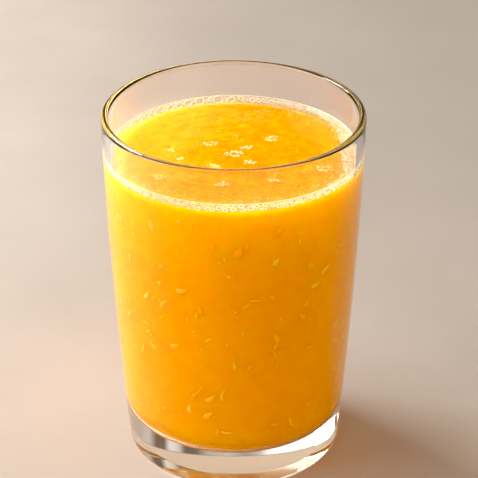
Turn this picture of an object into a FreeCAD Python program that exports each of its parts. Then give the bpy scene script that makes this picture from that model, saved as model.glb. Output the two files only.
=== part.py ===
"""Glass of orange juice: a thick-based tumbler, the juice in it and the froth around its edge.

Millimetres. +Z is up and is the axis of the tumbler. The origin is the middle of the foot,
on the surface that the tumbler stands on.
"""

import FreeCAD, Part
import math
import os
import Sketcher

DOC = FreeCAD.newDocument("GlassOfJuice")

# Driving sizes, millimetres.
SIZES = {
    # the tumbler's outside
    "glass_height": 113.6,        # foot to the top of the lip
    "rim_radius": 39.6,           # outside of the wall just under the lip
    "foot_radius": 33.7,          # outside of the wall, carried down to the foot
    "wall_bow": 1.0,              # how far the wall bulges past a straight cone
    "heel_radius": 1.8,           # rounding between the wall and the foot
    # the tumbler's inside
    "lip_thickness": 2.25,        # the wall at the rim, where it ends in a half circle
    "cavity_foot_radius": 31.8,   # inside of the wall, carried down to the floor
    "base_thickness": 10.6,       # clear glass under the drink
    "corner_radius": 10.0,        # rounding between the inside of the wall and the floor
    # the shallow hollow under the foot
    "punt_flat_radius": 21.0,     # its flat crown
    "punt_radius": 29.5,
    "punt_depth": 0.5,
    # the drink and its froth
    "juice_level": 101.0,
    "froth_inner_radius": 33.0,   # inner edge of the froth, on the drink
    "froth_foot": 99.6,           # lowest froth, at the wall
    "froth_top": 102.3,           # highest froth, at the wall
    "froth_swell": 0.35,          # how far the froth's top bulges past a straight slope
}

LIP_CENTRE = "Sizes.glass_height - Sizes.lip_thickness / 2"
MOUTH_RADIUS = "Sizes.rim_radius - Sizes.lip_thickness"
# radius of the arc that rises by wall_bow over the chord from the foot to the lip
WALL_ARC = (
    "((Sizes.rim_radius - Sizes.foot_radius) ^ 2"
    " + (Sizes.glass_height - Sizes.lip_thickness / 2) ^ 2) / (8 * Sizes.wall_bow)"
    " + Sizes.wall_bow / 2"
)
FROTH_ARC = (
    "((Sizes.rim_radius - Sizes.froth_inner_radius) ^ 2"
    " + (Sizes.froth_top - Sizes.juice_level) ^ 2) / (8 * Sizes.froth_swell)"
    " + Sizes.froth_swell / 2"
)
FROTH_UNDERSIDE = (
    "Sizes.juice_level - (Sizes.juice_level - Sizes.froth_foot)"
    " * (Sizes.rim_radius - Sizes.froth_inner_radius)"
    " / (Sizes.rim_radius - Sizes.lip_thickness - Sizes.froth_inner_radius)"
)

ORIGIN = (-1, 1)                  # the sketch origin, as a geometry and one of its points
RADIUS_AXIS, HEIGHT_AXIS = -1, -2
START, END, CENTRE = 1, 2, 3


def size_sheet():
    """The spreadsheet that every feature is bound to: one plain number and alias a row."""
    sheet = DOC.addObject("Spreadsheet::Sheet", "Sizes")
    for row, (alias, value) in enumerate(SIZES.items(), start=1):
        sheet.set(f"A{row}", alias.replace("_", " "))
        sheet.set(f"B{row}", str(value))
        sheet.setAlias(f"B{row}", alias)
    DOC.recompute()


def bowed(start, end, bulge):
    """The middle of an arc from start to end that swells by bulge to the right of the way."""
    run_x, run_y = end[0] - start[0], end[1] - start[1]
    chord = math.hypot(run_x, run_y)
    return (
        (start[0] + end[0]) / 2 + bulge * run_y / chord,
        (start[1] + end[1]) / 2 - bulge * run_x / chord,
    )


class Outline:
    """A closed outline on a body's XZ plane: across is the radius, up is the height."""

    def __init__(self, body, name):
        self.sketch = body.newObject("Sketcher::SketchObject", name)
        plane = next(f for f in body.Origin.OriginFeatures if f.Role == "XZ_Plane")
        self.sketch.AttachmentSupport = [(plane, "")]
        self.sketch.MapMode = "FlatFace"
        self.pieces = []          # each piece: its geometry, first point and last point

    def line(self, start, end):
        edge = Part.LineSegment(FreeCAD.Vector(*start, 0), FreeCAD.Vector(*end, 0))
        self.pieces.append((self.sketch.addGeometry(edge), START, END))

    def arc(self, start, middle, end):
        """An arc is stored anticlockwise, so the point it starts from may be its END."""
        edge = Part.Arc(*(FreeCAD.Vector(*point, 0) for point in (start, middle, end)))
        geometry = self.sketch.addGeometry(edge)
        first = self.sketch.getPoint(geometry, START)
        forward = math.dist((first.x, first.y), start) < 1e-6
        self.pieces.append((geometry, START, END) if forward else (geometry, END, START))

    def close(self):
        """Join the end of every piece to the start of the next."""
        for (piece, _, last), (other, first, _) in zip(self.pieces, self.pieces[1:] + self.pieces[:1]):
            self.sketch.addConstraint(Sketcher.Constraint("Coincident", piece, last, other, first))

    def start_of(self, order):
        """Where the piece drawn in that order starts, as a geometry and a point."""
        geometry, first, _ = self.pieces[order]
        return geometry, first

    def on_axis(self, order, axis):
        self.sketch.addConstraint(Sketcher.Constraint("PointOnObject", *self.start_of(order), axis))

    def level_with(self, order, other):
        """Put the start of one piece at the height of the start of another."""
        self.sketch.addConstraint(
            Sketcher.Constraint("Horizontal", *self.start_of(order), *self.start_of(other))
        )

    def fix(self, order, radius=None, height=None):
        """Bind the start of a piece to a radius and a height, given as expressions."""
        here = self.sketch.getPoint(*self.start_of(order))
        for kind, value, drawn in (("DistanceX", radius, here.x), ("DistanceY", height, here.y)):
            if value is not None:
                self.bind(Sketcher.Constraint(kind, *ORIGIN, *self.start_of(order), drawn), value)

    def round_to(self, order, value):
        """Bind the radius of an arc to an expression."""
        geometry = self.pieces[order][0]
        drawn = self.sketch.Geometry[geometry].Radius
        self.bind(Sketcher.Constraint("Radius", geometry, drawn), value)

    def half_circle(self, order):
        """Keep an arc's centre level with its start, so that it is half a circle."""
        centre = (self.pieces[order][0], CENTRE)
        self.sketch.addConstraint(Sketcher.Constraint("Horizontal", *centre, *self.start_of(order)))

    def bind(self, constraint, value):
        number = self.sketch.addConstraint(constraint)
        self.sketch.setExpression(f"Constraints[{number}]", value)


def turned(body, kind, name, outline):
    """Turn an outline once round the height axis: a Revolution adds it, a Groove removes it."""
    outline.close()
    feature = body.newObject(f"PartDesign::{kind}", name)
    feature.Profile = outline.sketch
    feature.ReferenceAxis = (outline.sketch, ["V_Axis"])
    feature.Angle = 360.0
    DOC.recompute()
    return feature


def is_circle(edge, radius, height):
    """Whether an edge is the level circle of that radius and height."""
    if edge.Degenerated or not isinstance(edge.Curve, Part.Circle):
        return False
    return math.dist((edge.Curve.Radius, edge.Curve.Center.z), (radius, height)) < 1e-4


def rounded(body, name, base, radius, height, value):
    """Fillet the circular edge of that radius and height."""
    names = [
        f"Edge{number}"
        for number, edge in enumerate(base.Shape.Edges, start=1)
        if is_circle(edge, radius, height)
    ]
    fillet = body.newObject("PartDesign::Fillet", name)
    fillet.Base = (base, names)
    fillet.setExpression("Radius", value)
    DOC.recompute()
    return fillet


def new_body(label):
    body = DOC.addObject("PartDesign::Body", label)
    body.Label = label
    body.Placement = FreeCAD.Placement()
    return body


# Points that the outlines are drawn from; the constraints then hold them to the sheet.
LIP_HEIGHT = SIZES["glass_height"] - SIZES["lip_thickness"] / 2
FOOT = (SIZES["foot_radius"], 0.0)
RIM = (SIZES["rim_radius"], LIP_HEIGHT)
MOUTH = (SIZES["rim_radius"] - SIZES["lip_thickness"], LIP_HEIGHT)
CAVITY_FOOT = (SIZES["cavity_foot_radius"], SIZES["base_thickness"])
FROTH_EDGE = (SIZES["froth_inner_radius"], SIZES["juice_level"])


def wall_radius():
    """Radius of the long arc that both sides of the wall follow."""
    chord = math.dist(FOOT, RIM)
    return chord ** 2 / (8 * SIZES["wall_bow"]) + SIZES["wall_bow"] / 2


def cavity_wall_middle():
    """Middle of the inside of the wall, drawn upwards with the wall's own radius."""
    half = math.dist(CAVITY_FOOT, MOUTH) / 2
    return bowed(CAVITY_FOOT, MOUTH, wall_radius() - math.sqrt(wall_radius() ** 2 - half ** 2))


def froth_underside_at_rim():
    """Height of the froth's underside, carried out through the wall to the rim's radius."""
    slope = (SIZES["froth_foot"] - SIZES["juice_level"]) / (MOUTH[0] - FROTH_EDGE[0])
    return FROTH_EDGE[1] + slope * (RIM[0] - FROTH_EDGE[0])


def glass():
    """One piece of pressed glass: thick base, bowed wall and fire-polished lip."""
    body = new_body("glass")
    outline = Outline(body, "GlassOutline")
    crown, crown_edge = (0.0, SIZES["punt_depth"]), (SIZES["punt_flat_radius"], SIZES["punt_depth"])
    punt_edge = (SIZES["punt_radius"], 0.0)
    outline.line(crown, crown_edge)
    outline.line(crown_edge, punt_edge)
    outline.line(punt_edge, FOOT)
    outline.arc(FOOT, bowed(FOOT, RIM, SIZES["wall_bow"]), RIM)
    outline.arc(RIM, ((RIM[0] + MOUTH[0]) / 2, SIZES["glass_height"]), MOUTH)
    outline.arc(MOUTH, cavity_wall_middle(), CAVITY_FOOT)
    outline.line(CAVITY_FOOT, (0.0, SIZES["base_thickness"]))
    outline.line((0.0, SIZES["base_thickness"]), crown)

    outline.on_axis(0, HEIGHT_AXIS)
    outline.fix(0, height="Sizes.punt_depth")
    outline.fix(1, radius="Sizes.punt_flat_radius")
    outline.level_with(1, 0)
    outline.on_axis(2, RADIUS_AXIS)
    outline.fix(2, radius="Sizes.punt_radius")
    outline.on_axis(3, RADIUS_AXIS)
    outline.fix(3, radius="Sizes.foot_radius")
    outline.round_to(3, WALL_ARC)
    outline.fix(4, radius="Sizes.rim_radius", height=LIP_CENTRE)
    outline.half_circle(4)
    outline.fix(5, radius=MOUTH_RADIUS)
    outline.level_with(5, 4)
    outline.round_to(5, WALL_ARC)
    outline.fix(6, radius="Sizes.cavity_foot_radius", height="Sizes.base_thickness")
    outline.on_axis(7, HEIGHT_AXIS)
    outline.level_with(7, 6)
    blank = turned(body, "Revolution", "GlassBlank", outline)
    heeled = rounded(body, "Heel", blank, *FOOT, "Sizes.heel_radius")
    rounded(body, "InnerCorner", heeled, *CAVITY_FOOT, "Sizes.corner_radius")
    return body


def cavity(label):
    """A body that fills the inside of the tumbler up to the lip, and its last feature."""
    body = new_body(label)
    outline = Outline(body, "CavityOutline")
    outline.line((0.0, SIZES["base_thickness"]), CAVITY_FOOT)
    outline.arc(CAVITY_FOOT, cavity_wall_middle(), MOUTH)
    outline.line(MOUTH, (0.0, LIP_HEIGHT))
    outline.line((0.0, LIP_HEIGHT), (0.0, SIZES["base_thickness"]))

    outline.on_axis(0, HEIGHT_AXIS)
    outline.fix(1, radius="Sizes.cavity_foot_radius", height="Sizes.base_thickness")
    outline.level_with(0, 1)
    outline.round_to(1, WALL_ARC)
    outline.fix(2, radius=MOUTH_RADIUS, height=LIP_CENTRE)
    outline.on_axis(3, HEIGHT_AXIS)
    outline.level_with(3, 2)
    filled = turned(body, "Revolution", "Cavity", outline)
    rounded(body, "InnerCorner", filled, *CAVITY_FOOT, "Sizes.corner_radius")
    return body


def juice():
    """The drink: the cavity cut off at its level, and lower under the froth."""
    body = cavity("juice")
    outline = Outline(body, "AboveTheDrink")
    underside = (RIM[0], froth_underside_at_rim())
    outline.line((0.0, FROTH_EDGE[1]), FROTH_EDGE)
    outline.line(FROTH_EDGE, underside)
    outline.line(underside, (RIM[0], SIZES["glass_height"]))
    outline.line((RIM[0], SIZES["glass_height"]), (0.0, SIZES["glass_height"]))
    outline.line((0.0, SIZES["glass_height"]), (0.0, FROTH_EDGE[1]))

    outline.on_axis(0, HEIGHT_AXIS)
    outline.fix(1, radius="Sizes.froth_inner_radius", height="Sizes.juice_level")
    outline.level_with(0, 1)
    outline.fix(2, radius="Sizes.rim_radius", height=FROTH_UNDERSIDE)
    outline.fix(3, radius="Sizes.rim_radius", height="Sizes.glass_height")
    outline.on_axis(4, HEIGHT_AXIS)
    outline.level_with(4, 3)
    turned(body, "Groove", "PouredToLevel", outline)
    return body


def froth_ring():
    """The ring of froth that lies on the drink, thickest where it clings to the wall."""
    body = cavity("froth_ring")
    outline = Outline(body, "AroundTheFroth")
    below, above = (RIM[0], froth_underside_at_rim()), (RIM[0], SIZES["froth_top"])
    floor, lid = (RIM[0], 0.0), (RIM[0], SIZES["glass_height"])
    outline.line((0.0, 0.0), floor)
    outline.line(floor, below)
    outline.line(below, FROTH_EDGE)
    outline.arc(FROTH_EDGE, bowed(FROTH_EDGE, above, -SIZES["froth_swell"]), above)
    outline.line(above, lid)
    outline.line(lid, (0.0, lid[1]))
    outline.line((0.0, lid[1]), (0.0, 0.0))

    outline.on_axis(0, HEIGHT_AXIS)
    outline.on_axis(0, RADIUS_AXIS)
    outline.on_axis(1, RADIUS_AXIS)
    outline.fix(1, radius="Sizes.rim_radius")
    outline.fix(2, radius="Sizes.rim_radius", height=FROTH_UNDERSIDE)
    outline.fix(3, radius="Sizes.froth_inner_radius", height="Sizes.juice_level")
    outline.fix(4, radius="Sizes.rim_radius", height="Sizes.froth_top")
    outline.round_to(3, FROTH_ARC)
    outline.fix(5, radius="Sizes.rim_radius", height="Sizes.glass_height")
    outline.on_axis(6, HEIGHT_AXIS)
    outline.level_with(6, 5)
    turned(body, "Groove", "AllButTheFroth", outline)
    return body


def check(bodies):
    """Stop before anything is written if a feature failed or a solid isn't sound."""
    DOC.recompute()
    for thing in DOC.Objects:
        if {"Invalid", "Error"} & set(thing.State):
            raise RuntimeError(f"{thing.Name} did not recompute: {thing.State}")
    for sketch in DOC.findObjects("Sketcher::SketchObject"):
        if sketch.solve() != 0 or not sketch.FullyConstrained:
            raise RuntimeError(f"{sketch.Name} is not fully constrained")
    for body in bodies:
        shape = body.Shape
        if shape.isNull() or not shape.isValid() or len(shape.Solids) != 1:
            raise RuntimeError(f"{body.Label} is not one valid solid")
        print(f"{body.Label}: {shape.Volume / 1000:.1f} cubic cm, up to {shape.BoundBox.ZMax:.2f} mm")


def write(bodies):
    os.makedirs("parts", exist_ok=True)
    for body in bodies:
        body.Shape.exportStep(f"parts/{body.Label}.step")


size_sheet()
BODIES = [glass(), juice(), froth_ring()]
check(BODIES)
write(BODIES)
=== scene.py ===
# %% [markdown]
# # A glass of orange juice
#
# The real thing is a pressed tumbler with a thick clear foot, filled nearly to the lip with
# cloudy juice. Three things make it look like juice and not paint: light soaks into the drink
# and comes out yellower where it is bright, the clear foot works like a lens, and a ring of
# bubbles edges the drink. Each gets its own pieces and its own finish below.
#
# The solid model is loaded first. Its boxes give the height, the width and the levels. The few
# sizes they can't give, such as the roundings, are the ones the solid model was drawn with.

# %% Load the solid model and read its sizes
import math
import random

import bmesh
import bpy
import numpy as np
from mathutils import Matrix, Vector, noise


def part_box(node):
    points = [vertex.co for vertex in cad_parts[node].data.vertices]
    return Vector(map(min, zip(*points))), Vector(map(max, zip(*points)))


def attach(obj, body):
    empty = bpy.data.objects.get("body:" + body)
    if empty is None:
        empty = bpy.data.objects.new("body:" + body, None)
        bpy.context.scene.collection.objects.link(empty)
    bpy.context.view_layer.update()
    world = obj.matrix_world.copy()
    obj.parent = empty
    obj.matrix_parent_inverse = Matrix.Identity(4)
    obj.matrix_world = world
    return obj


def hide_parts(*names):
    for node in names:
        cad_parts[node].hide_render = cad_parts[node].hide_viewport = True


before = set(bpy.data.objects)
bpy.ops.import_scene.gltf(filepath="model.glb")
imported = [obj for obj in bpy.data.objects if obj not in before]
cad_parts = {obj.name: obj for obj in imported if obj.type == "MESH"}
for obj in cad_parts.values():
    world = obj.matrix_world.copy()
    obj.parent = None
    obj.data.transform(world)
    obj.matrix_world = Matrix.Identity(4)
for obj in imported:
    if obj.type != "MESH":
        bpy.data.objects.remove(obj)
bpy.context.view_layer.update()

MM = 0.001
GLASS_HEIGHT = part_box("glass")[1].z
RIM_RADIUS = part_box("glass")[1].x
FLOOR_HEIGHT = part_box("juice")[0].z
JUICE_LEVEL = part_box("juice")[1].z
FROTH_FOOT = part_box("froth_ring")[0].z
FROTH_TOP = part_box("froth_ring")[1].z
print(f"tumbler {GLASS_HEIGHT / MM:.1f} mm high, {2 * RIM_RADIUS / MM:.1f} mm wide")
print(f"drink from {FLOOR_HEIGHT / MM:.1f} to {JUICE_LEVEL / MM:.1f} mm")
print(f"froth from {FROTH_FOOT / MM:.1f} to {FROTH_TOP / MM:.1f} mm")

# %% [markdown]
# ## The shape of the wall
#
# Both sides of a pressed wall are long gentle arcs: the mould bulges a millimetre past a
# straight cone. A circle through two points that rises by a known bow has one radius, so a
# short formula gives the wall's radius at any height. Every piece that touches the wall asks
# the same formula, which is safer than measuring a mesh.

# %% The wall's arcs, as formulas
FOOT_RADIUS = 33.7 * MM
WALL_BOW = 1.0 * MM
LIP_THICKNESS = 2.25 * MM
CAVITY_FOOT_RADIUS = 31.8 * MM
CORNER_RADIUS = 10.0 * MM
HEEL_RADIUS = 1.8 * MM
PUNT_FLAT_RADIUS = 21.0 * MM
PUNT_RADIUS = 29.5 * MM
PUNT_DEPTH = 0.5 * MM

LIP_HEIGHT = GLASS_HEIGHT - LIP_THICKNESS / 2
MOUTH_RADIUS = RIM_RADIUS - LIP_THICKNESS
WALL_CHORD = math.dist((FOOT_RADIUS, 0), (RIM_RADIUS, LIP_HEIGHT))
WALL_ARC = WALL_CHORD ** 2 / (8 * WALL_BOW) + WALL_BOW / 2


def arc_centre(low, high, radius):
    """Centre of the arc of that radius from low to high, on the side of the glass's axis."""
    half = math.dist(low, high) / 2
    away = math.sqrt(radius ** 2 - half ** 2)
    run, rise = high[0] - low[0], high[1] - low[1]
    return (
        (low[0] + high[0]) / 2 - away * rise / (2 * half),
        (low[1] + high[1]) / 2 + away * run / (2 * half),
    )


OUTER_CENTRE = arc_centre((FOOT_RADIUS, 0), (RIM_RADIUS, LIP_HEIGHT), WALL_ARC)
INNER_CENTRE = arc_centre((CAVITY_FOOT_RADIUS, FLOOR_HEIGHT), (MOUTH_RADIUS, LIP_HEIGHT), WALL_ARC)


def outer_wall(height):
    """Radius of the outside of the wall at a height."""
    return OUTER_CENTRE[0] + math.sqrt(WALL_ARC ** 2 - (height - OUTER_CENTRE[1]) ** 2)


def inner_wall(height):
    """Radius of the inside of the wall at a height."""
    return INNER_CENTRE[0] + math.sqrt(WALL_ARC ** 2 - (height - INNER_CENTRE[1]) ** 2)


print(f"wall {(outer_wall(0.06) - inner_wall(0.06)) / MM:.2f} mm thick half way up")

# %% [markdown]
# ## Turning an outline into a piece
#
# Anything round about one axis is made as a potter makes it: draw half of the section, then
# spin it. bmesh has a spin operator for this. Many steps are used, because clear glass shows
# every flat as a kink in what is seen through it.

# %% A lathe, and small helpers for its outlines
AROUND = 256


def new_piece(name, mesh):
    """A new object in the scene that shows a mesh."""
    piece = bpy.data.objects.new(name, mesh)
    bpy.context.scene.collection.objects.link(piece)
    return piece


def bend(centre, radius, start, stop, steps):
    """Points along a round stretch of an outline, angles in degrees from straight outwards."""
    angles = [math.radians(start + (stop - start) * step / steps) for step in range(steps + 1)]
    return [(centre[0] + radius * math.cos(a), centre[1] + radius * math.sin(a)) for a in angles]


def heights(low, high, steps):
    """Evenly spaced heights, both ends included."""
    return [low + (high - low) * step / steps for step in range(steps + 1)]


def lathe(name, outline, around=AROUND):
    """Spin an outline of (radius, height) points about the height axis, into a smooth mesh."""
    bm = bmesh.new()
    points = [bm.verts.new((radius, 0, height)) for radius, height in outline]
    edges = [bm.edges.new(pair) for pair in zip(points, points[1:])]
    bmesh.ops.spin(
        bm, geom=points + edges, cent=(0, 0, 0), axis=(0, 0, 1),
        angle=2 * math.pi, steps=around, use_merge=True,
    )
    bmesh.ops.remove_doubles(bm, verts=bm.verts, dist=1e-7)
    bmesh.ops.recalc_face_normals(bm, faces=bm.faces)
    mesh = bpy.data.meshes.new(name)
    bm.to_mesh(mesh)
    bm.free()
    mesh.shade_smooth()
    return new_piece(name, mesh)


# %% [markdown]
# ## The tumbler
#
# The solid model's own mesh is a little coarse for clear glass, so the tumbler is spun again
# from the same sizes. Its outline runs from the hollow under the foot, round the heel, up the
# outside, over the half-round lip that a flame leaves, and down the inside to the floor.

# %% Spin the tumbler
def heel_outline():
    """The small rounding where the wall meets the foot."""
    centre = (outer_wall(HEEL_RADIUS) - HEEL_RADIUS, HEEL_RADIUS)
    return bend(centre, HEEL_RADIUS, -90, 0, 10)


def punt_outline():
    """The shallow hollow under the foot: a flat crown, then a slope out to the ring it stands on."""
    run = PUNT_RADIUS - PUNT_FLAT_RADIUS
    crown = [(PUNT_FLAT_RADIUS * share, PUNT_DEPTH) for share in (0, 0.25, 0.5, 0.75, 0.99)]
    # points close to both ends of the slope keep its shading flat
    ends_and_middle = (0, 0.03, 0.35, 0.65, 0.97)
    slope = [(PUNT_FLAT_RADIUS + run * share, PUNT_DEPTH * (1 - share)) for share in ends_and_middle]
    return crown + slope + [(PUNT_RADIUS, 0.0)]


def corner_outline(grow=0.0):
    """The inside corner from the wall down to the floor, grown outwards by a little if asked."""
    radius = CORNER_RADIUS + grow
    centre = (inner_wall(FLOOR_HEIGHT + CORNER_RADIUS) - CORNER_RADIUS, FLOOR_HEIGHT + CORNER_RADIUS)
    return bend(centre, radius, 0, -90, 20)


lip = bend((RIM_RADIUS - LIP_THICKNESS / 2, LIP_HEIGHT), LIP_THICKNESS / 2, 0, 180, 20)
outside = [(outer_wall(z), z) for z in heights(2 * HEEL_RADIUS, LIP_HEIGHT, 60)]
inside = [(inner_wall(z), z) for z in heights(LIP_HEIGHT, FLOOR_HEIGHT + CORNER_RADIUS, 60)]
tumbler = lathe(
    "tumbler",
    punt_outline() + heel_outline() + outside + lip[1:] + inside[1:-1] + corner_outline()
    + [(0.0, FLOOR_HEIGHT)],
)
print(f"tumbler: {len(tumbler.data.polygons)} faces")

# %% [markdown]
# ## The drink
#
# The drink is one closed solid, because light is traced as it wanders inside it, and through an
# open shell that light would be lost. Its side reaches a tenth of a millimetre into the wall, so
# no sliver of air shows between drink and glass. Around the edge the froth sits in a shallow
# dip, so the surface there curves down to meet the wall a little lower.

# %% Pour the drink
INTO_WALL = 0.12 * MM
FROTH_INNER = 33.0 * MM
DRINK_AROUND = 512


def surface_height(radius):
    """Height of the still surface: level in the middle, dipping under the froth at the wall."""
    share = (radius - FROTH_INNER) / (inner_wall(FROTH_FOOT) - FROTH_INNER)
    return JUICE_LEVEL - (JUICE_LEVEL - FROTH_FOOT) * min(max(share, 0.0), 1.0) ** 1.6


def drink_outline():
    """Half of the drink's section: underside, corner, side, then the surface back to the axis."""
    low = FLOOR_HEIGHT + CORNER_RADIUS
    wall = [(inner_wall(z) + INTO_WALL, z) for z in heights(low, FROTH_FOOT, 40)]
    edge = inner_wall(FROTH_FOOT)
    rings = 110
    reach = [edge * (1 - (ring / rings) ** 1.15) for ring in range(rings + 1)]
    top = [(r, surface_height(r)) for r in reach]
    return [(0.0, FLOOR_HEIGHT - INTO_WALL)] + corner_outline(INTO_WALL)[::-1] + wall[1:] + top


drink = lathe("drink", drink_outline(), around=DRINK_AROUND)

# %% [markdown]
# Juice with pulp never lies as flat as water. Threads of pulp just under the skin lift it in
# little streaks that follow the last stir. Folding a noise at its middle gives sharp ridges, and
# stretching it along the stir turns the ridges into threads.

# %% Lift the surface with threads of pulp
def ridges(x, y, z=0.0):
    """Folded noise: 1 on the ridges and falling away on both sides."""
    return 1 - abs(noise.noise(Vector((x, y, z)))) * 2


def relief(x, y):
    """How far pulp lifts the skin of the juice at a place."""
    radius = math.hypot(x, y)
    swirl = math.atan2(y, x) + 0.5 * noise.noise(Vector((x, y, 0)) * 60)
    threads = ridges(radius / (1.6 * MM), swirl * radius / (7 * MM), 3.0)
    lumps = noise.noise(Vector((x, y, 0)) / (3.6 * MM))
    swell = noise.noise(Vector((x, y, 9)) / (12 * MM))
    fade = min(1.0, max(0.0, (FROTH_INNER - radius) / (1.5 * MM)))
    return fade * (0.06 * max(threads, 0.3) + 0.06 * lumps + 0.10 * swell) * MM


places = np.empty(len(drink.data.vertices) * 3)
drink.data.vertices.foreach_get("co", places)
places = places.reshape(-1, 3)
on_top = (places[:, 2] > JUICE_LEVEL - 0.5 * MM) & (np.hypot(places[:, 0], places[:, 1]) < FROTH_INNER)
for index in np.flatnonzero(on_top):
    places[index, 2] += relief(places[index, 0], places[index, 1])
drink.data.vertices.foreach_set("co", places.ravel())
drink.data.update()
print(f"drink: {len(drink.data.polygons)} faces, {int(on_top.sum())} points lifted")

# %% [markdown]
# ## Heaps of small things
#
# Pulp, bubbles and froth are hundreds of small closed shapes. Each kind is gathered into one
# mesh. Two helpers say where things are: `on_wall` measures along the wall, up it and inwards
# from it, and `on_juice` measures on the surface of the drink.

# %% Helpers for small shapes
dice = random.Random(11)


def on_wall(azimuth, along, height, inwards):
    """A point near the inside of the wall. Azimuth is in degrees, the rest in metres."""
    radius = inner_wall(height)
    angle = math.radians(azimuth) + along / radius
    return ((radius - inwards) * math.cos(angle), (radius - inwards) * math.sin(angle), height)


def on_juice(x, y, above=0.0):
    """A point on the surface of the drink, or a little above it."""
    radius = math.hypot(x, y)
    return (x, y, surface_height(radius) + (relief(x, y) if radius < FROTH_INNER else 0.0) + above)


def ball_template(divisions):
    """Points and faces of a ball of radius one."""
    bm = bmesh.new()
    bmesh.ops.create_icosphere(bm, subdivisions=divisions, radius=1.0)
    points = [tuple(v.co) for v in bm.verts]
    faces = [[v.index for v in face.verts] for face in bm.faces]
    bm.free()
    return points, faces


BALL = ball_template(2)
SMALL_BALL = ball_template(1)


class Heap:
    """Many small closed shapes gathered into one mesh."""

    def __init__(self):
        self.points, self.faces = [], []

    def add(self, points, faces):
        first = len(self.points)
        self.points += points
        self.faces += [[first + corner for corner in face] for face in faces]

    def bead(self, centre, radius):
        """A ball, with fewer faces where it is too small for them to show."""
        points, faces = BALL if radius > 0.2 * MM else SMALL_BALL
        self.add([tuple(c + radius * p for c, p in zip(centre, point)) for point in points], faces)

    def hoop(self, place, radius, tube, around=18, sides=6, tall=1.0):
        """A ring of round section. place turns (across, along, out) into a point."""
        points = []
        for step in range(around):
            a = 2 * math.pi * step / around
            for side in range(sides):
                b = 2 * math.pi * side / sides
                reach = radius + tube * math.cos(b)
                points.append(place(reach * math.cos(a), reach * tall * math.sin(a), tube * math.sin(b)))
        faces = []
        for step in range(around):
            here, there = step * sides, (step + 1) % around * sides
            for side in range(sides):
                after = (side + 1) % sides
                faces.append([here + side, there + side, there + after, here + after])
        self.add(points, faces)

    def thread(self, path, width, thick, sides=6):
        """A tapering strand along a path of points on or near the juice."""
        points, faces = [], []
        last = len(path) - 1
        for index, here in enumerate(path):
            before, after = Vector(path[max(index - 1, 0)]), Vector(path[min(index + 1, last)])
            across = (after - before).cross(Vector((0, 0, 1))).normalized()
            taper = 0.15 + 0.85 * max(math.sin(math.pi * index / last), 0.0) ** 0.6
            for side in range(sides):
                b = 2 * math.pi * side / sides
                point = Vector(here) + across * (width * taper * math.cos(b) / 2)
                points.append(tuple(point + Vector((0, 0, thick * taper * math.sin(b) / 2))))
        for index in range(last):
            for side in range(sides):
                after = (side + 1) % sides
                a, b = index * sides, (index + 1) * sides
                faces.append([a + side, b + side, b + after, a + after])
        faces += [list(range(sides)), [last * sides + side for side in range(sides)][::-1]]
        self.add(points, faces)

    def make(self, name):
        """Turn the heap into one smooth mesh with its faces outwards."""
        mesh = bpy.data.meshes.new(name)
        mesh.from_pydata(self.points, [], self.faces)
        bm = bmesh.new()
        bm.from_mesh(mesh)
        bmesh.ops.recalc_face_normals(bm, faces=bm.faces)
        bm.to_mesh(mesh)
        bm.free()
        mesh.shade_smooth()
        print(f"{name}: {sum(len(face) - 2 for face in self.faces)} triangles")
        return new_piece(name, mesh)


# %% [markdown]
# ## Pulp
#
# Pulp is made of the tiny juice sacs of the orange: pale, flat drops pointed at one end, 1 to
# 5 mm long, that lie at every angle. Those against the wall show clearly, so they are modelled
# as flat drops that break the skin of the drink there.

# %% Drops of pulp against the wall
PULP_DROPS = 480
pulp_heap = Heap()


def pulp_drop(azimuth, height, length, width, thick, tilt, curve):
    """A flat drop lying against the wall, pointed at one end and a little bent."""
    points, faces = BALL
    placed = []
    for x, y, z in points:
        along = x * length / 2
        across = y * width / 2 * (1 - 0.55 * x) + curve * x * x * length / 2
        turned = along * math.cos(tilt) - across * math.sin(tilt)
        risen = along * math.sin(tilt) + across * math.cos(tilt)
        placed.append(on_wall(azimuth, turned, height + risen, -INTO_WALL * 0.8 - z * thick / 2))
    pulp_heap.add(placed, faces)


for _ in range(PULP_DROPS):
    length = dice.uniform(1.0, 2.2) if dice.random() < 0.55 else dice.uniform(2.2, 4.6)
    pulp_drop(
        azimuth=dice.uniform(0, 360), height=dice.uniform(FLOOR_HEIGHT + 6 * MM, FROTH_FOOT - 4 * MM),
        length=length * MM, width=length * dice.uniform(0.22, 0.55) * MM,
        thick=dice.uniform(0.22, 0.34) * MM, tilt=dice.gauss(1.2, 0.8), curve=dice.uniform(-0.3, 0.3),
    )
pulp = pulp_heap.make("pulp")

# %% [markdown]
# On top, pulp lies as soft pale threads. Most follow the stir, some are only crumbs.

# %% Threads of pulp on the surface
SHORT_THREADS = 80
LONG_THREADS = 26
THREAD_THICKNESS = 0.08 * MM
thread_heap = Heap()


def pulp_thread(radius, azimuth, length, width, wander):
    """A wavy thread that roughly follows a circle about the middle."""
    steps = max(6, int(length / (0.5 * MM)))
    path = []
    for step in range(steps + 1):
        run = (step / steps - 0.5) * length
        angle = math.radians(azimuth) + run / max(radius, 4 * MM)
        reach = radius + wander * noise.noise(Vector((azimuth, run / (2.2 * MM), 0.0)))
        path.append(on_juice(reach * math.cos(angle), reach * math.sin(angle)))
    thread_heap.thread(path, width, THREAD_THICKNESS)


for _ in range(SHORT_THREADS):
    radius = math.sqrt(dice.random()) * 31 * MM + 1 * MM
    pulp_thread(
        radius, dice.uniform(0, 360), dice.uniform(1.5, 6.5) * MM, dice.uniform(0.25, 0.6) * MM,
        dice.uniform(0.8, 3.0) * MM,
    )
for _ in range(LONG_THREADS):
    pulp_thread(
        dice.uniform(27, 32.5) * MM, dice.uniform(215, 330), dice.uniform(8, 22) * MM,
        dice.uniform(0.10, 0.2) * MM, dice.uniform(1.0, 3.5) * MM,
    )
pulp_threads = thread_heap.make("pulp_threads")

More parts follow.
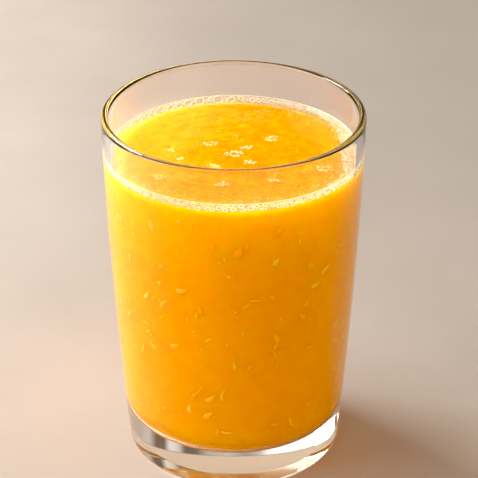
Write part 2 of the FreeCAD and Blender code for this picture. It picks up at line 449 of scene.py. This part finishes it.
# %% [markdown]
# ## Froth
#
# The froth is a narrow ring of bubbles held against the wall. At the back left the bubbles are
# large and one deep, so they are windows through the wall. To the right they are small, and
# heaped up into white foam. How wide, how dense and how coarse the froth is changes with the
# azimuth, which is 0 degrees at the right, 90 at the back, 180 at the left and 270 at the front.
# A short table says how, and the values between its rows come by interpolation.

# %% How the froth changes around the wall
FROTH_AROUND = (
    # azimuth, radius of the bubbles (mm), width of the foam (mm), beads for each mm of wall
    (0, 0.50, 4.8, 32),
    (15, 0.50, 4.0, 28),
    (30, 0.46, 2.2, 17),
    (45, 0.40, 1.2, 9),
    (60, 0.42, 0.7, 6),
    (80, 0.75, 0.6, 4),
    (97, 1.30, 0.5, 2.5),
    (112, 1.20, 0.6, 2.5),
    (130, 1.05, 0.7, 3),
    (150, 0.85, 0.9, 3),
    (180, 0.60, 1.2, 3),
    (215, 0.50, 1.2, 2.5),
    (250, 0.62, 0.9, 2.5),
    (270, 0.66, 0.8, 2.5),
    (300, 0.55, 0.9, 3.5),
    (325, 0.45, 1.3, 9),
    (340, 0.42, 3.0, 24),
    (350, 0.46, 4.8, 34),
)
AZIMUTHS, BUBBLE_RADII, FOAM_WIDTHS, FOAM_BEADS = zip(*FROTH_AROUND)


def around_wall(values, azimuth):
    """The value of a column of the table at an azimuth."""
    return float(np.interp(azimuth, AZIMUTHS, values, period=360))


# %% [markdown]
# Bubbles can't overlap, so they are thrown at the wall one by one and kept only where they find
# room: the large ones first, then smaller ones into the gaps. Only the thick rim of a bubble
# shows, since its film is clear, so each one is a ring held against the wall.

# %% Bubbles against the wall
bubble_heap = Heap()
bubbles = np.empty((0, 3))
FROTH_LENGTH = 2 * math.pi * inner_wall(JUICE_LEVEL)


def room_for(run, height, radius):
    """Whether a bubble fits among those already placed, measured on the unrolled wall."""
    if not len(bubbles):
        return True
    apart = np.abs(bubbles[:, 0] - run)
    apart = np.minimum(apart, FROTH_LENGTH - apart)
    return bool(np.all(np.hypot(apart, bubbles[:, 1] - height) > bubbles[:, 2] + radius))


def blow_bubbles(tries, smallest, largest, wide, around, sides):
    """Throw bubbles at the wall and keep those that find room. Returns how many stayed."""
    global bubbles
    kept = 0
    for _ in range(tries):
        azimuth = dice.uniform(0, 360)
        radius = around_wall(BUBBLE_RADII, azimuth) * dice.uniform(smallest, largest) * MM
        low, high = FROTH_FOOT + radius * 0.8, FROTH_TOP - radius * 0.9
        height = dice.uniform(low, high) if high > low else (low + high) / 2
        run = math.radians(azimuth) * inner_wall(JUICE_LEVEL)
        if not room_for(run, height, radius * wide):
            continue
        bubbles = np.vstack([bubbles, (run, height, radius * wide)])
        kept += 1

        def place(across, along, out, azimuth=azimuth, height=height):
            return on_wall(azimuth, across * wide, height + along, 0.02 * MM - out)

        tube = min(0.25 * MM, radius * 0.28)
        bubble_heap.hoop(place, radius - tube * 0.6, tube, around, sides, tall=0.95)
    return kept


for kind, tries, smallest, largest, wide, around, sides in (
    ("large", 2600, 0.9, 1.15, 1.22, 24, 6),
    ("middling", 2000, 0.5, 0.75, 1.1, 14, 5),
    ("small", 3000, 0.25, 0.38, 1.0, 10, 5),
):
    print(f"{kind} bubbles:", blow_bubbles(tries, smallest, largest, wide, around, sides))
froth_bubbles = bubble_heap.make("froth_bubbles")

# %% [markdown]
# Foam is made of bubbles too small to show their rims, so each is one tiny bead. Where the foam is
# wide it is also heaped up, and some larger bubbles lie on top of it. The finest of them drift off
# onto the open surface as a pale dust.

# %% Foam of tiny bubbles
FOAM_STEP = 0.5
FROTH_REACH = 4.1 * MM
DUST_BEADS = 420
LYING_BUBBLES = 90
BEAD_SIZES = (0.09, 0.11, 0.14, 0.17, 0.22)
bead_heap = Heap()


def froth_height(inwards):
    """Height of the froth's top, which falls away from the wall to the level of the juice."""
    return FROTH_TOP - (FROTH_TOP - JUICE_LEVEL) * min(inwards / FROTH_REACH, 1.0) ** 0.7


def foam_bead(azimuth, width):
    """One bead of foam, somewhere between the wall and the foam's inner edge."""
    inwards = width * dice.random() ** 1.3
    radius = dice.choice(BEAD_SIZES) * (0.85 + 0.08 * width / MM) * MM
    aside = dice.uniform(-FOAM_STEP, FOAM_STEP) / 2
    x, y, _ = on_wall(azimuth + aside, 0, JUICE_LEVEL, max(inwards, radius * 0.6))
    low = surface_height(math.hypot(x, y))
    heaped = min(width / (3.5 * MM), 1.0)
    share = heaped * dice.random() ** 0.5 + (1 - heaped) * dice.random()
    bead_heap.bead((x, y, low + (froth_height(inwards) - low) * share), radius)


def lying_bubble(azimuth):
    """A larger bubble lying on top of the foam."""
    size = dice.uniform(0.22, 0.5) * MM
    inwards = dice.uniform(0.5 * MM, around_wall(FOAM_WIDTHS, azimuth) * MM)
    x, y, _ = on_wall(azimuth, 0, JUICE_LEVEL, inwards)
    top = froth_height(inwards)
    bead_heap.hoop(lambda across, along, out: (x + across, y + along, top + out), size, 0.07 * MM, 14, 5)


for step in range(round(360 / FOAM_STEP)):
    azimuth = step * FOAM_STEP
    arc = math.radians(FOAM_STEP) * inner_wall(JUICE_LEVEL)
    clump = 0.6 + 0.9 * noise.noise(Vector((azimuth * 0.12, 4.0, 1.0)))
    expected = around_wall(FOAM_BEADS, azimuth) * arc / MM * max(clump, 0.25)
    for _ in range(int(expected + dice.random())):
        foam_bead(azimuth, around_wall(FOAM_WIDTHS, azimuth) * MM)
for _ in range(DUST_BEADS):
    azimuth = dice.uniform(0, 360)
    x, y, _ = on_wall(azimuth, 0, JUICE_LEVEL, 3.4 * MM + dice.expovariate(1 / (1.1 * MM)))
    bead_heap.bead(on_juice(x, y, 0.02 * MM), dice.uniform(0.07, 0.13) * MM)
for _ in range(LYING_BUBBLES):
    lying_bubble(dice.choice((dice.uniform(-42, 20), dice.uniform(15, 55))))
foam = bead_heap.make("foam")

# %% [markdown]
# As the froth sinks it leaves a pale line of dried film on the wall, only a hair or two wide.

# %% The line where the froth once stood
TIDE_LINE_RADIUS = 0.085 * MM
tide_line = lathe("tide_line", bend((inner_wall(FROTH_TOP), FROTH_TOP), TIDE_LINE_RADIUS, 0, 360, 8))
print(f"tide line: {len(tide_line.data.polygons)} faces")

# %% [markdown]
# A few bubbles drift in little rafts on the open surface. Each raft is a larger bubble with
# small ones around it, and only the rims of them show.

# %% Rafts of bubbles on the open surface
RAFTS = (
    # right of the middle, behind it, radius of the largest bubble (mm), and how much company it has
    (-7.2, 3.8, 0.9, 6), (0.1, -3.1, 1.25, 13), (11.6, 7.3, 0.9, 8), (4.0, 1.7, 0.5, 5),
    (-19.2, -0.4, 0.5, 4), (-5.5, -11.2, 0.6, 5), (-21.5, -17.8, 0.8, 6), (-3.4, -22.3, 0.7, 5),
    (-15.4, -5.8, 0.4, 3), (4.8, -8.5, 0.5, 5), (19.6, -10.5, 0.5, 4), (11.8, -19.7, 0.45, 4),
    (26.8, -12.2, 1.1, 9),
)
raft_heap = Heap()


def floating_ring(x, y, radius, tube):
    """The rim of a bubble that floats on the drink."""
    def place(across, along, out):
        return on_juice(x + across, y + along, out + tube * 0.3)
    raft_heap.hoop(place, radius, tube, 18, 6)


for x, y, size, company in RAFTS:
    floating_ring(x * MM, y * MM, size * MM, 0.10 * MM)
    for _ in range(company * 2):
        angle = dice.uniform(0, 2 * math.pi)
        small = dice.uniform(0.12, 0.36)
        reach = size + small * dice.uniform(0.8, 2.6)
        floating_ring(
            (x + 1.5 * reach * math.cos(angle)) * MM, (y + reach * math.sin(angle)) * MM,
            small * MM, 0.06 * MM,
        )
    for _ in range(company * 3):
        aside = dice.gauss(0, 1.1 * size + 0.7)
        behind = dice.gauss(0, 0.8 * size + 0.3)
        place = on_juice((x + aside) * MM, (y + behind) * MM)
        raft_heap.bead(place, dice.uniform(0.06, 0.14) * MM)
rafts = raft_heap.make("bubble_rafts")

# %% [markdown]
# ## Finishes
#
# A small helper keeps each material short: it makes a material with one Principled shader and
# sets plain numbers straight on its sockets. Clear things need one more helper: lamps have to
# shine through them, or they would cast a solid shadow.

# %% Helpers for finishes
def finish(name, **sockets):
    """A new material, its node tree and its Principled shader, with plain socket values set."""
    material = bpy.data.materials.new(name)
    material.use_nodes = True
    shader = material.node_tree.nodes["Principled BSDF"]
    for socket, value in sockets.items():
        shader.inputs[socket.replace("_", " ")].default_value = value
    return material, material.node_tree, shader


def let_lamps_through(tree, shader, tint=(1, 1, 1, 1)):
    """Let lamps shine straight through, tinted, where a solid shadow would be too dark."""
    path = tree.nodes.new("ShaderNodeLightPath")
    clear = tree.nodes.new("ShaderNodeBsdfTransparent")
    clear.inputs["Color"].default_value = tint
    choose = tree.nodes.new("ShaderNodeMixShader")
    tree.links.new(path.outputs["Is Shadow Ray"], choose.inputs["Fac"])
    tree.links.new(shader.outputs[0], choose.inputs[1])
    tree.links.new(clear.outputs["BSDF"], choose.inputs[2])
    tree.links.new(choose.outputs["Shader"], tree.nodes["Material Output"].inputs["Surface"])


# %% [markdown]
# Real surfaces are never one colour all over. Here a colour is laid over another by an amount
# that comes from a cloudy noise or from the place on the object. Each helper makes one node and
# gives back its output, so an amount can be written almost like a sum.

# %% Helpers that give an amount
def sum_node(tree, operation, *values):
    """One sum. Each value is the output of another node or a plain number."""
    node = tree.nodes.new("ShaderNodeMath")
    node.operation = operation
    for socket, value in zip(node.inputs, values):
        if isinstance(value, (int, float)):
            socket.default_value = value
        else:
            tree.links.new(value, socket)
    return node.outputs[0]


def step_up(tree, value, low, high, most=1.0):
    """Map a value to 0 below low and to most above high, smoothly. It steps down if low > high."""
    span = tree.nodes.new("ShaderNodeMapRange")
    span.interpolation_type = "SMOOTHSTEP"
    for socket, number in (("From Min", low), ("From Max", high), ("To Min", 0.0), ("To Max", most)):
        span.inputs[socket].default_value = number
    tree.links.new(value, span.inputs["Value"])
    return span.outputs["Result"]


def place_on(tree, output="Object"):
    """The x, y and z of the point being shaded, measured on its own object."""
    place = tree.nodes.new("ShaderNodeTexCoord")
    split = tree.nodes.new("ShaderNodeSeparateXYZ")
    tree.links.new(place.outputs[output], split.inputs["Vector"])
    return split.outputs["X"], split.outputs["Y"], split.outputs["Z"]


def cloud_noise(tree, size, detail, distortion=0.0):
    """A cloudy noise whose lumps are about size across."""
    place = tree.nodes.new("ShaderNodeTexCoord")
    cloud = tree.nodes.new("ShaderNodeTexNoise")
    cloud.inputs["Scale"].default_value = 1 / size
    cloud.inputs["Detail"].default_value = detail
    cloud.inputs["Distortion"].default_value = distortion
    tree.links.new(place.outputs["Object"], cloud.inputs["Vector"])
    return cloud.outputs["Fac"]


# %% Helpers that lay colours over each other
def ramp(tree, value, stops):
    """Turn a value from 0 to 1 into a colour, by stops of (position, colour)."""
    node = tree.nodes.new("ShaderNodeValToRGB")
    elements = node.color_ramp.elements
    elements.remove(elements[0])
    elements[0].position, elements[0].color = stops[0]
    for position, colour in stops[1:]:
        elements.new(position).color = colour
    tree.links.new(value, node.inputs["Fac"])
    return node.outputs["Color"]


def mottle(tree, shader, colours, size, detail=3.0):
    """Colour a shader by a cloudy noise that goes from the first colour to the second."""
    colour = ramp(tree, cloud_noise(tree, size, detail), ((0.35, colours[0]), (0.68, colours[1])))
    tree.links.new(colour, shader.inputs["Base Color"])


def lay_over(tree, shader, colour, amount, blend="MIX"):
    """Lay a colour over what a shader has. Colour and amount may be outputs or plain values."""
    before = shader.inputs["Base Color"].links[0].from_socket
    mix = tree.nodes.new("ShaderNodeMix")
    mix.data_type, mix.blend_type = "RGBA", blend
    tree.links.new(before, mix.inputs["A"])
    for socket, value in (("Factor", amount), ("B", colour)):
        if isinstance(value, (float, tuple)):
            mix.inputs[socket].default_value = value
        else:
            tree.links.new(value, mix.inputs[socket])
    tree.links.new(mix.outputs["Result"], shader.inputs["Base Color"])


# %% [markdown]
# Glass is clear with the faintest trace of green, perfectly smooth, and bends light by 1.5. The
# lip is a lens that gathers light from far down in the wall, and so takes on the colour of the
# drink. The half round is painted with a warm tint: painted light, standing for the drink's light
# carried that long way through the glass.

# %% Clear glass, and its lip with painted light
def clear_finish(name, colours):
    """Clear glass, tinted between two colours: nearly white for the glass, and warm on the lip, where the
    tint is painted light.
    """
    material, tree, shader = finish(
        name, Roughness=0.0, IOR=1.5, Transmission_Weight=1.0, Specular_IOR_Level=0.15,
    )
    mottle(tree, shader, colours, 30 * MM)
    let_lamps_through(tree, shader)
    return material


CLEAR_TINTS = ((0.995, 0.998, 0.995, 1), (1.0, 1.0, 1.0, 1))
# painted light: a warm tint on the lip, for the drink's light carried up the wall
LIP_PAINTED_LIGHT_TINTS = ((1.0, 0.80, 0.54, 1), (1.0, 0.86, 0.64, 1))
tumbler.data.materials.append(clear_finish("clear_glass", CLEAR_TINTS))
tumbler.data.materials.append(clear_finish("lip_painted_light", LIP_PAINTED_LIGHT_TINTS))
for face in tumbler.data.polygons:
    if face.center.z > LIP_HEIGHT:
        face.material_index = 1

# %% [markdown]
# Juice is a cloud of pulp in a yellow liquid. Red light wanders a centimetre through it, green
# half that and blue hardly at all, so thin or bright places look yellow and thick ones orange.
# Subsurface scattering does this when its radius differs for red, green and blue.
#
# Inside the glass, light that meets the drink at a slant is turned back, as it is under still
# water. That is why the clear foot looks silvery and not orange. A mirror mixed in by the angle
# gives the same, when the angle is worked out for juice against glass and not against air.

# %% Cloudy juice
DEEP_ORANGE = (1.0, 0.37, 0.0, 1)
PALE_ORANGE = (1.0, 0.415, 0.0, 1)
DRINK_SHADOW = (0.42, 0.25, 0.08, 1)
JUICE_IOR, GLASS_IOR = 1.34, 1.5


def juice_finish(name, colours, size, roughness=0.3, shine=0.0):
    """A scattering drink. Light wanders up to 12 mm through it."""
    material, tree, shader = finish(
        name, Roughness=roughness, IOR=JUICE_IOR, Specular_IOR_Level=shine, Subsurface_Weight=1.0,
        Subsurface_Radius=(1.0, 0.5, 0.05), Subsurface_Scale=12 * MM,
    )
    mottle(tree, shader, colours, size, detail=5.0)
    return material, tree, shader


def mirror_at_a_slant(tree, shader):
    """Mix in a mirror by the angle at which light in the glass meets the drink."""
    fresnel = tree.nodes.new("ShaderNodeFresnel")
    fresnel.inputs["IOR"].default_value = JUICE_IOR / GLASS_IOR
    mirror = tree.nodes.new("ShaderNodeBsdfGlossy")
    mirror.inputs["Roughness"].default_value = 0.0
    # The mirror's warm tint is a painted reflection colour: it warms all that the mirror reflects.
    mirror.inputs["Color"].default_value = (1.0, 0.93, 0.80, 1)
    choose = tree.nodes.new("ShaderNodeMixShader")
    tree.links.new(fresnel.outputs["Fac"], choose.inputs["Fac"])
    tree.links.new(shader.outputs[0], choose.inputs[1])
    tree.links.new(mirror.outputs["BSDF"], choose.inputs[2])
    return choose


# %% [markdown]
# The colour of the drink changes from place to place. Soft fibres of pulp make pale threads:
# a noise folded at its middle gives thin lines, and a second, larger noise keeps them to patches.
# Low in the glass the drink is deeper in colour. Near the froth fine air makes it paler, and
# Painted shade darkens the drink at its very foot, and just under the surface it is a little
# yellower. Near the froth fine air makes it paler. Painted light from the window makes it
# yellower on the left.

# %% Tones of the drink
def pale_streaks(tree, shader, colour, size, most):
    """Soft threads where a folded noise is near its middle, gathered in patches."""
    fold = sum_node(tree, "ABSOLUTE", sum_node(tree, "SUBTRACT", cloud_noise(tree, size, 4.0, 1.2), 0.5))
    thread = step_up(tree, fold, 0.022, -0.001)
    patch = step_up(tree, cloud_noise(tree, 2.4 * size, 2.0), 0.45, 0.62, most)
    lay_over(tree, shader, colour, sum_node(tree, "MULTIPLY", thread, patch))


def painted_shade_and_tint_by_height(tree, shader, stops):
    """Multiply a finish by colours at stated shares of the height of the drink."""
    _, _, height = place_on(tree)
    share = tree.nodes.new("ShaderNodeMapRange")
    share.inputs["From Min"].default_value = FLOOR_HEIGHT
    share.inputs["From Max"].default_value = JUICE_LEVEL
    tree.links.new(height, share.inputs["Value"])
    lay_over(tree, shader, ramp(tree, share.outputs["Result"], stops), 1.0, "MULTIPLY")


def pale_near_the_wall(tree, shader, colour):
    """Fine air stays near the froth and makes the juice there paler, with a ragged edge."""
    x, y, _ = place_on(tree)
    radius = sum_node(tree, "SQRT", sum_node(tree, "MULTIPLY_ADD", x, x, sum_node(tree, "MULTIPLY", y, y)))
    ragged = sum_node(tree, "MULTIPLY_ADD", cloud_noise(tree, 4 * MM, 3.0), 6 * MM, radius)
    lay_over(tree, shader, colour, step_up(tree, ragged, 35 * MM, 40 * MM, 0.42))


def painted_window_light(tree, shader, colour):
    """Painted light: the drink is painted yellower at the left and a little behind, where the window's
    light comes in.
    """
    x, y, _ = place_on(tree)
    towards = sum_node(tree, "SUBTRACT", sum_node(tree, "MULTIPLY", y, 0.4), x)
    ragged = sum_node(tree, "MULTIPLY_ADD", cloud_noise(tree, 6 * MM, 3.0), 14 * MM, towards)
    lay_over(tree, shader, colour, step_up(tree, ragged, 8 * MM, 36 * MM, 0.32))


# %% [markdown]
# The drink gets three finishes: its side, its surface, which is wet and open to the air, and its
# underside, which is seen only through the clear foot.

# %% Finish the drink
juice_body, tree, shader = juice_finish("juice_body", (DEEP_ORANGE, PALE_ORANGE), 3.5 * MM)
pale_streaks(tree, shader, (1.0, 0.52, 0.03, 1), 4 * MM, 0.4)
# Painted shade: the two lowest stops darken the drink at its very foot, where the corner lies in shade.
# The top stop makes it a little yellower just under the surface.
painted_shade_and_tint_by_height(tree, shader, (
    (0.0, (0.35, 0.3, 0.3, 1)), (0.012, (0.5, 0.42, 0.4, 1)), (0.026, (1, 1, 1, 1)),
    (0.72, (1, 1, 1, 1)), (0.97, (1, 1.25, 1, 1)),
))
let_lamps_through(tree, mirror_at_a_slant(tree, shader), DRINK_SHADOW)

# The surface's colours are deeper than the side's: painted shade, which holds back the light that falls on
# the open surface from above.
juice_top, tree, shader = juice_finish(
    "juice_top", ((0.72, 0.185, 0.0, 1), (0.80, 0.265, 0.001, 1)), 3 * MM, roughness=0.10, shine=0.2,
)
pale_streaks(tree, shader, (1.0, 0.56, 0.14, 1), 4.5 * MM, 0.35)
pale_near_the_wall(tree, shader, (1.0, 0.60, 0.16, 1))
# painted light: the surface is painted yellower towards the window
painted_window_light(tree, shader, (1.0, 0.58, 0.05, 1))
let_lamps_through(tree, shader, DRINK_SHADOW)

juice_on_foot, tree, shader = juice_finish("juice_on_foot", (DEEP_ORANGE, PALE_ORANGE), 3.5 * MM)
let_lamps_through(tree, mirror_at_a_slant(tree, shader), DRINK_SHADOW)

SIDE, SURFACE, UNDERSIDE = 0, 1, 2
for material in (juice_body, juice_top, juice_on_foot):
    drink.data.materials.append(material)
for face in drink.data.polygons:
    if face.center.z < FLOOR_HEIGHT + 0.9 * CORNER_RADIUS:
        face.material_index = UNDERSIDE
    elif face.normal.z > 0.3:
        face.material_index = SURFACE
    else:
        face.material_index = SIDE

# %% [markdown]
# Pulp is the same stuff as the juice with less colour in it, so its finish is a paler juice.

# %% Pulp
def pulp_finish(name, deep, pale, size):
    """Soft dull flesh, which scatters light only a tenth of a millimetre deep."""
    material, tree, shader = finish(
        name, Roughness=0.5, IOR=JUICE_IOR, Specular_IOR_Level=0.0, Subsurface_Weight=0.5,
        Subsurface_Radius=(1.0, 0.6, 0.3), Subsurface_Scale=0.1 * MM,
    )
    mottle(tree, shader, (deep, pale), size, detail=1.0)
    return material


pulp.data.materials.append(pulp_finish("pulp", (1.0, 0.40, 0.0, 1), (1.0, 0.54, 0.045, 1), 9 * MM))
pulp_threads.data.materials.append(
    pulp_finish("pulp_threads", (0.88, 0.28, 0.0, 1), (1.0, 0.42, 0.04, 1), 5 * MM)
)

# %% [markdown]
# Froth is juice blown into films: nearly white, because light meets so many surfaces, with a
# little cream from the juice between them, and wet enough to glint.

# %% Froth
def froth_finish(name, cream, white):
    """Wet froth, between two pale colours."""
    material, tree, shader = finish(
        name, Roughness=0.22, IOR=JUICE_IOR, Subsurface_Weight=0.5,
        Subsurface_Radius=(1.0, 0.8, 0.6), Subsurface_Scale=0.1 * MM,
    )
    mottle(tree, shader, (cream, white), 1.2 * MM, detail=2.0)
    return material


for piece, name, cream, white in (
    (froth_bubbles, "froth_rims", (0.96, 0.78, 0.46, 1), (0.99, 0.94, 0.78, 1)),
    (foam, "froth_foam", (0.84, 0.60, 0.30, 1), (0.95, 0.87, 0.70, 1)),
    (tide_line, "tide_line", (0.95, 0.78, 0.48, 1), (0.98, 0.92, 0.76, 1)),
    (rafts, "froth_rafts", (0.98, 0.66, 0.22, 1), (0.98, 0.84, 0.50, 1)),
):
    piece.data.materials.append(froth_finish(name, cream, white))

# %% [markdown]
# ## Floor, light and camera
#
# The floor is a plain pale board near a window. Painted shade makes it a little darker at the
# back right, away from where the light comes in. It is staged, so it is never part of the object.

# %% Floor
def painted_shade_to_the_right(tree, shader):
    """Painted shade: the floor is painted darker away from the window, towards the back right."""
    x, y, _ = place_on(tree)
    across = step_up(tree, x, -0.10, 0.01)
    back = step_up(tree, y, 0.0, 0.22, 0.5)
    # painted shade: a darker colour laid over the back right of the floor
    lay_over(tree, shader, (0.33, 0.29, 0.27, 1), sum_node(tree, "MULTIPLY", across, back))


FLOOR_WIDTH = 6
FLOOR_BELOW = 0.1 * MM
bpy.ops.mesh.primitive_plane_add(size=FLOOR_WIDTH, location=(0, 0, -FLOOR_BELOW))
floor = bpy.context.object
floor.name = "floor"
pale_floor, tree, shader = finish("pale_floor", Roughness=0.7)
mottle(tree, shader, ((0.468, 0.412, 0.378, 1), (0.51, 0.45, 0.413, 1)), 60 * MM, detail=4.0)
painted_shade_to_the_right(tree, shader)
floor.data.materials.append(pale_floor)

# %% [markdown]
# Light passes through many surfaces of clear glass before it gets out again, so it is allowed
# many bounces. The plain view keeps the strong orange of the drink as it is, and a trace of the
# darkest green and blue is taken away, which keeps the shaded side of the drink pure.

# %% How light is followed and shown
LIGHT_BOUNCES = 32
scene = bpy.context.scene
scene.view_settings.view_transform = "Standard"
scene.cycles.max_bounces = LIGHT_BOUNCES
scene.cycles.transmission_bounces = LIGHT_BOUNCES
scene.view_settings.use_curve_mapping = True
scene.view_settings.curve_mapping.black_level = (0.0, 0.008, 0.028)

# %% [markdown]
# Clear glass is only seen by what it bends towards the eye. In an even room its thick foot would
# look empty, so this room has bright windows and dark gaps between them, in a band at window
# height. The drink and the floor are too dull to show them.

# %% The room
ROOM_STRENGTH = 0.34
ROOM_CONTRAST = 4.0
ROOM_COLOUR = (1.0, 0.94, 0.87, 1)
ROOM_STOPS = (
    # azimuth, brightness, where a quarter is as bright as the rest of the room
    (-180, 0.25), (-10, 0.25), (30, 0.30), (42, 0.42), (49, 0.06), (55, 0.07), (59, 0.60), (64, 0.50),
    (68, 0.07), (74, 0.10), (79, 0.34), (88, 0.42), (95, 0.24), (101, 0.40), (106, 0.95), (134, 0.95),
    (142, 0.45), (160, 0.25), (180, 0.25),
)


def light_the_room(tree):
    """Bright and dark parts by azimuth, kept to a band at window height."""
    x, y, z = place_on(tree, "Generated")
    turn = sum_node(tree, "MULTIPLY_ADD", sum_node(tree, "ARCTAN2", y, x), 1 / (2 * math.pi), 0.5)
    stops = [(azimuth / 360 + 0.5, (bright, bright, bright, 1)) for azimuth, bright in ROOM_STOPS]
    part = sum_node(tree, "MULTIPLY_ADD", ramp(tree, turn, stops), ROOM_CONTRAST, -1.0)
    band = sum_node(tree, "MULTIPLY", step_up(tree, z, 0.35, 0.50), step_up(tree, z, 0.85, 0.68))
    total = sum_node(tree, "MULTIPLY_ADD", part, band, 1.0)
    sky = tree.nodes["Background"]
    sky.inputs["Color"].default_value = ROOM_COLOUR
    tree.links.new(sum_node(tree, "MULTIPLY", total, ROOM_STRENGTH), sky.inputs["Strength"])


world = bpy.data.worlds.new("room")
scene.world = world
world.use_nodes = True
light_the_room(world.node_tree)
print(f"room: {len(ROOM_STOPS)} bright and dark parts")

# %% [markdown]
# The key is the light of the window, behind on the left, with a weak fill beside it. Two large
# weak lamps stand in front. They light the object only, by light linking, so that the shadow on
# the floor stays deep.

# %% Lamps
LAMPS_AIM = Vector((0, 0, 50 * MM))


def softbox(name, azimuth, elevation, distance, size, watts, colour):
    """A rectangular soft lamp placed by direction and turned to face the glass."""
    lamp = bpy.data.lights.new(name, "AREA")
    lamp.shape = "RECTANGLE"
    lamp.size, lamp.size_y = size
    lamp.energy = watts
    lamp.color = colour
    holder = bpy.data.objects.new(name, lamp)
    scene.collection.objects.link(holder)
    turn, rise = math.radians(azimuth), math.radians(elevation)
    towards = Vector((math.cos(turn) * math.cos(rise), math.sin(turn) * math.cos(rise), math.sin(rise)))
    holder.location = LAMPS_AIM + towards * distance
    holder.rotation_euler = (-towards).to_track_quat("-Z", "Y").to_euler()
    return holder


lamps = [softbox(*row) for row in (
    # name, azimuth, elevation, distance, size, watts, colour
    ("key", 146, 40, 1.0, (0.42, 0.38), 11.6, (1.0, 0.95, 0.87)),
    ("left_fill", 190, 28, 0.75, (0.5, 0.5), 3.2, (0.94, 0.96, 0.94)),
    ("front_left_fill", 232, 36, 1.5, (0.9, 0.9), 2.8, (1.0, 0.94, 0.86)),
    ("front_right_fill", 312, 36, 1.5, (0.9, 0.9), 7.0, (1.0, 0.92, 0.82)),
)]
lit_from_the_front = bpy.data.collections.new("lit_from_the_front")
for piece in (tumbler, drink, pulp, pulp_threads, froth_bubbles, foam, rafts, tide_line):
    lit_from_the_front.objects.link(piece)
for lamp in lamps[2:]:
    lamp.light_linking.receiver_collection = lit_from_the_front

# %% [markdown]
# The camera stands half a metre away and looks down at a slant, so that the surface of the drink
# shows as well as its side. A long lens keeps the sides of the tumbler nearly straight.

# %% Camera
CAMERA_PLACE = (0.0016, -0.48814, 0.33819)
CAMERA_DOWN = math.radians(28.764)
SENSOR_WIDTH = 36
LENS = 135.56
camera = bpy.data.objects.new("camera", bpy.data.cameras.new("camera"))
camera.data.sensor_width = SENSOR_WIDTH
camera.data.lens = LENS
camera.location = CAMERA_PLACE
camera.rotation_euler = (math.pi / 2 - CAMERA_DOWN, 0, 0)
scene.collection.objects.link(camera)
scene.camera = camera
print(f"camera {math.hypot(*CAMERA_PLACE):.3f} m away, {math.degrees(CAMERA_DOWN):.1f} degrees down")

# %% [markdown]
# ## Tie the pieces to the model
#
# Every piece rides on the one body, since nothing moves. The tumbler, the drink and the foam
# stand in for the three solids of the model.

# %% Tie the pieces to the model
for piece, slot in (
    (tumbler, "clear_glass"), (drink, "orange_juice"), (pulp, "orange_juice"),
    (pulp_threads, "orange_juice"), (froth_bubbles, "juice_froth"), (foam, "juice_froth"),
    (rafts, "juice_froth"), (tide_line, "juice_froth"),
):
    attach(piece, "root")
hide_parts("glass")
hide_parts("juice")
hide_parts("froth_ring")
